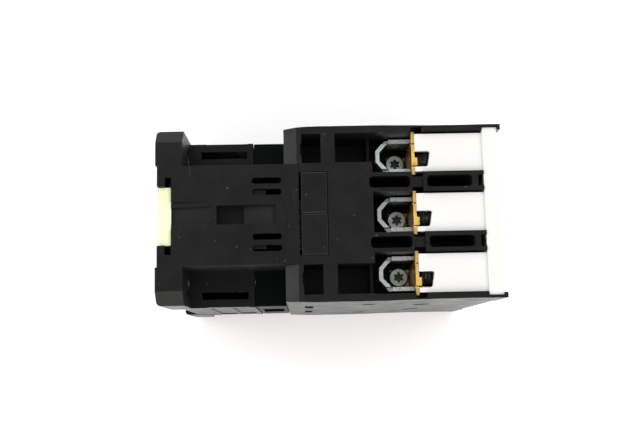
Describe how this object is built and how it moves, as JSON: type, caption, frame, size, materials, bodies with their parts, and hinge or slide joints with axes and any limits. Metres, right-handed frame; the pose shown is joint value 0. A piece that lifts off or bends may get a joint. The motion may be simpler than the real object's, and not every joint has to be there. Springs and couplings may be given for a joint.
{
  "type": "din rail contactor",
  "caption": "Compact three-pole power contactor that clips on a mounting rail, with open terminal channels, clamp cages, white terminal hoods and a sprung rail latch.",
  "frame": {"origin": "centre of the overall box at the height of the line end, which stands on the surface", "axes": "+Z from the line-terminal end up to the load-terminal end with the rail latch, as in the picture; -Y is the front cover and +Y the rail or panel side; +X runs across the poles. On a rail the part is normally turned so that this +Z points down."},
  "size_m": [0.045, 0.0886, 0.085],
  "materials": {
    "housing_plastic": "fine satin moulded thermoplastic, charcoal",
    "cover_plastic": "satin moulded thermoplastic, near white",
    "marker_plastic": "smooth light grey label plate",
    "latch_plastic": "waxy pale yellow-green polyamide",
    "cushion_rubber": "soft black rubber pad",
    "core_steel": "ground and oiled laminated steel",
    "rivet_steel": "plain steel",
    "copper": "bright copper",
    "frame_plastic": "dark green moulded thermoset",
    "magnet_wire": "enamelled copper wire",
    "tape_plastic": "yellow insulating tape",
    "tinned_steel": "tinned strip",
    "spring_steel": "bright spring wire",
    "carrier_plastic": "black moulded thermoset",
    "contact_silver": "silver alloy",
    "screw_steel": "bright zinc plated steel",
    "terminal_brass": "plain brass strip",
    "cage_steel": "bright zinc plated steel"
  },
  "bodies": {
    "housing": {"rear_housing": "housing_plastic", "front_housing": "housing_plastic", "front_cover": "cover_plastic", "housing_clip_load": "housing_plastic", "housing_clip_line": "housing_plastic", "marker_plate": "marker_plastic", "latch_spring": "spring_steel", "core_cushion": "cushion_rubber", "fixed_core": "core_steel", "core_rivets": "rivet_steel", "shading_rings": "copper", "coil_bobbin": "frame_plastic", "coil_winding": "magnet_wire", "coil_tape": "tape_plastic", "coil_terminals": "tinned_steel", "coil_clamp_springs": "spring_steel", "return_spring_left": "spring_steel", "return_spring_right": "spring_steel", "load_contact_1": "terminal_brass", "load_contact_2": "terminal_brass", "load_contact_3": "terminal_brass", "line_contact_1": "terminal_brass", "line_contact_2": "terminal_brass", "line_contact_3": "terminal_brass", "fixed_tips": "contact_silver", "contact_screws": "screw_steel"},
    "latch": {"rail_latch": "latch_plastic"},
    "carrier": {"contact_carrier": "carrier_plastic", "indicator_cap": "latch_plastic", "armature": "core_steel", "armature_rivets": "rivet_steel", "armature_pin": "rivet_steel", "armature_holder": "carrier_plastic", "contact_spring_1": "spring_steel", "contact_spring_2": "spring_steel", "contact_spring_3": "spring_steel"},
    "bridges": {"contact_bridge_1": "copper", "contact_bridge_2": "copper", "contact_bridge_3": "copper", "moving_tips": "contact_silver"},
    "load_screw_1_body": {"load_screw_1": "screw_steel"},
    "load_cage_1_body": {"load_cage_1": "cage_steel"},
    "load_screw_2_body": {"load_screw_2": "screw_steel"},
    "load_cage_2_body": {"load_cage_2": "cage_steel"},
    "load_screw_3_body": {"load_screw_3": "screw_steel"},
    "load_cage_3_body": {"load_cage_3": "cage_steel"},
    "line_screw_1_body": {"line_screw_1": "screw_steel"},
    "line_cage_1_body": {"line_cage_1": "cage_steel"},
    "line_screw_2_body": {"line_screw_2": "screw_steel"},
    "line_cage_2_body": {"line_cage_2": "cage_steel"},
    "line_screw_3_body": {"line_screw_3": "screw_steel"},
    "line_cage_3_body": {"line_cage_3": "cage_steel"}
  },
  "joints": [
    {"name": "rail_latch_slide", "type": "slide", "parent": "housing", "child": "latch", "axis": [0, 0, 1], "range_m": [0, 0.0035], "stiffness_N_per_m": 1200, "springref_m": -0.002, "deforming": ["latch_spring"]},
    {"name": "carrier_travel", "type": "slide", "parent": "housing", "child": "carrier", "axis": [0, 1, 0], "range_m": [0, 0.005], "stiffness_N_per_m": 800, "springref_m": -0.004, "deforming": ["return_spring_left", "return_spring_right"]},
    {"name": "bridge_lift", "type": "slide", "parent": "carrier", "child": "bridges", "axis": [0, -1, 0], "range_m": [0, 0.0016], "deforming": ["contact_spring_1", "contact_spring_2", "contact_spring_3"]},
    {"name": "load_screw_1_turn", "type": "hinge", "parent": "housing", "child": "load_screw_1_body", "pos_m": [-0.0155, -0.03075, 0.0725], "axis": [0, 1, 0], "range_deg": [0, 2620]},
    {"name": "load_cage_1_slide", "type": "slide", "parent": "housing", "child": "load_cage_1_body", "axis": [0, -1, 0], "range_m": [0, 0.0058]},
    {"name": "load_screw_2_turn", "type": "hinge", "parent": "housing", "child": "load_screw_2_body", "pos_m": [0, -0.03075, 0.0725], "axis": [0, 1, 0], "range_deg": [0, 2620]},
    {"name": "load_cage_2_slide", "type": "slide", "parent": "housing", "child": "load_cage_2_body", "axis": [0, -1, 0], "range_m": [0, 0.0058]},
    {"name": "load_screw_3_turn", "type": "hinge", "parent": "housing", "child": "load_screw_3_body", "pos_m": [0.0155, -0.03075, 0.0725], "axis": [0, 1, 0], "range_deg": [0, 2620]},
    {"name": "load_cage_3_slide", "type": "slide", "parent": "housing", "child": "load_cage_3_body", "axis": [0, -1, 0], "range_m": [0, 0.0058]},
    {"name": "line_screw_1_turn", "type": "hinge", "parent": "housing", "child": "line_screw_1_body", "pos_m": [-0.0155, -0.03075, 0.0125], "axis": [0, 1, 0], "range_deg": [0, 2620]},
    {"name": "line_cage_1_slide", "type": "slide", "parent": "housing", "child": "line_cage_1_body", "axis": [0, -1, 0], "range_m": [0, 0.0058]},
    {"name": "line_screw_2_turn", "type": "hinge", "parent": "housing", "child": "line_screw_2_body", "pos_m": [0, -0.03075, 0.0125], "axis": [0, 1, 0], "range_deg": [0, 2620]},
    {"name": "line_cage_2_slide", "type": "slide", "parent": "housing", "child": "line_cage_2_body", "axis": [0, -1, 0], "range_m": [0, 0.0058]},
    {"name": "line_screw_3_turn", "type": "hinge", "parent": "housing", "child": "line_screw_3_body", "pos_m": [0.0155, -0.03075, 0.0125], "axis": [0, 1, 0], "range_deg": [0, 2620]},
    {"name": "line_cage_3_slide", "type": "slide", "parent": "housing", "child": "line_cage_3_body", "axis": [0, -1, 0], "range_m": [0, 0.0058]}
  ],
  "couplings": [
    {"joint": "bridge_lift", "follows": "carrier_travel", "ratio": 0.31},
    {"joint": "load_screw_1_turn", "follows": "load_cage_1_slide", "rad_per_m": 7854},
    {"joint": "load_screw_2_turn", "follows": "load_cage_2_slide", "rad_per_m": 7854},
    {"joint": "load_screw_3_turn", "follows": "load_cage_3_slide", "rad_per_m": 7854},
    {"joint": "line_screw_1_turn", "follows": "line_cage_1_slide", "rad_per_m": 7854},
    {"joint": "line_screw_2_turn", "follows": "line_cage_2_slide", "rad_per_m": 7854},
    {"joint": "line_screw_3_turn", "follows": "line_cage_3_slide", "rad_per_m": 7854}
  ]
}
